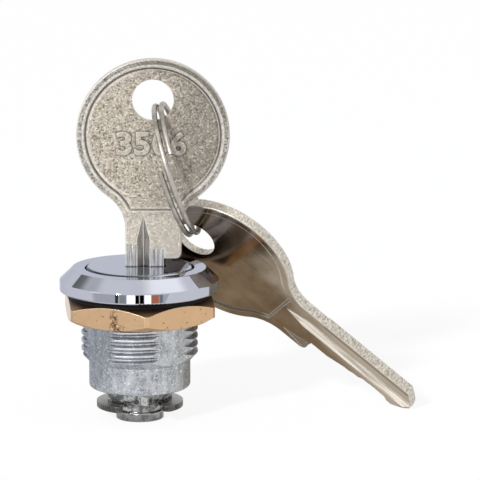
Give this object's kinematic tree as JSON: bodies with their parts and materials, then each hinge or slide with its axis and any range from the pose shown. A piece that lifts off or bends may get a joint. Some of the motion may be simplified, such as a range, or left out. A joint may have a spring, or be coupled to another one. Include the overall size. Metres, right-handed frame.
{
  "type": "enclosure lock",
  "caption": "Round panel lock with chromed flange, threaded flatted barrel, rubber gasket and hex nut; a flat key turns its plug and carries a second key on a split ring.",
  "frame": {"origin": "on the lock's axis at the underside of the flange, where the panel gasket seats", "axes": "+Z along the lock's axis out of the panel towards the key, -Y towards the front of the key, +X to the right"},
  "size_m": [0.0674, 0.0343, 0.0684],
  "materials": {
    "flange_chrome": "bright chrome on the flange, matt zinc on the barrel",
    "disc_chrome": "mirror chrome",
    "rubber": "matt black",
    "nut_brass": "satin, slightly pitted",
    "plug_zinc": "rough cast zinc",
    "clip_steel": "dark spring steel",
    "steel": "drawn",
    "key_nickel": "nickel plated, granular panel",
    "key_polished": "nickel plated, polished",
    "ring_steel": "bright nickel plated",
    "wafer_brass": "stamped"
  },
  "bodies": {
    "housing": {"housing": "flange_chrome", "panel_gasket": "rubber", "hex_nut": "nut_brass", "stop_pin": "steel"},
    "plug": {"plug": "plug_zinc", "face_disc": "disc_chrome", "plug_seal": "rubber", "retaining_clip": "clip_steel", "wafer_spring_1": "steel", "wafer_spring_2": "steel", "wafer_spring_3": "steel", "wafer_spring_4": "steel", "wafer_spring_5": "steel", "wafer_spring_6": "steel"},
    "key": {"key_in_lock": "key_nickel"},
    "ring": {"key_ring": "ring_steel"},
    "spare": {"spare_key": "key_polished"},
    "wafer_1_body": {"wafer_1": "wafer_brass"},
    "wafer_2_body": {"wafer_2": "wafer_brass"},
    "wafer_3_body": {"wafer_3": "wafer_brass"},
    "wafer_4_body": {"wafer_4": "wafer_brass"},
    "wafer_5_body": {"wafer_5": "wafer_brass"},
    "wafer_6_body": {"wafer_6": "wafer_brass"}
  },
  "joints": [
    {"name": "plug_turn", "type": "hinge", "parent": "housing", "child": "plug", "pos_m": [0, 0, 0], "axis": [0, 0, -1], "range_deg": [0, 90]},
    {"name": "key_slide", "type": "slide", "parent": "plug", "child": "key", "axis": [0, 0, 1], "range_m": [0, 0.024]},
    {"name": "ring_swing", "type": "hinge", "parent": "key", "child": "ring", "pos_m": [0.0027, 0, 0.036], "axis": [0, -1, 0], "range_deg": [0, 80]},
    {"name": "spare_swing", "type": "hinge", "parent": "ring", "child": "spare", "pos_m": [0.01091, 0.00809, 0.00848], "axis": [-0.4553, -0.7001, -0.55], "range_deg": [-75, 12]},
    {"name": "wafer_1_slide", "type": "slide", "parent": "plug", "child": "wafer_1_body", "axis": [-1, 0, 0], "range_m": [0, 0.0009], "deforming": ["wafer_spring_1"]},
    {"name": "wafer_2_slide", "type": "slide", "parent": "plug", "child": "wafer_2_body", "axis": [-1, 0, 0], "range_m": [0, 0.0009], "deforming": ["wafer_spring_2"]},
    {"name": "wafer_3_slide", "type": "slide", "parent": "plug", "child": "wafer_3_body", "axis": [-1, 0, 0], "range_m": [0, 0.0009], "deforming": ["wafer_spring_3"]},
    {"name": "wafer_4_slide", "type": "slide", "parent": "plug", "child": "wafer_4_body", "axis": [-1, 0, 0], "range_m": [0, 0.0009], "deforming": ["wafer_spring_4"]},
    {"name": "wafer_5_slide", "type": "slide", "parent": "plug", "child": "wafer_5_body", "axis": [-1, 0, 0], "range_m": [0, 0.0009], "deforming": ["wafer_spring_5"]},
    {"name": "wafer_6_slide", "type": "slide", "parent": "plug", "child": "wafer_6_body", "axis": [-1, 0, 0], "range_m": [0, 0.0009], "deforming": ["wafer_spring_6"]}
  ],
  "couplings": [
    {"joint": "wafer_1_slide", "follows": "key_slide", "ratio": 0.0375},
    {"joint": "wafer_2_slide", "follows": "key_slide", "ratio": 0.0375},
    {"joint": "wafer_3_slide", "follows": "key_slide", "ratio": 0.0375},
    {"joint": "wafer_4_slide", "follows": "key_slide", "ratio": 0.0375},
    {"joint": "wafer_5_slide", "follows": "key_slide", "ratio": 0.0375},
    {"joint": "wafer_6_slide", "follows": "key_slide", "ratio": 0.0375}
  ]
}
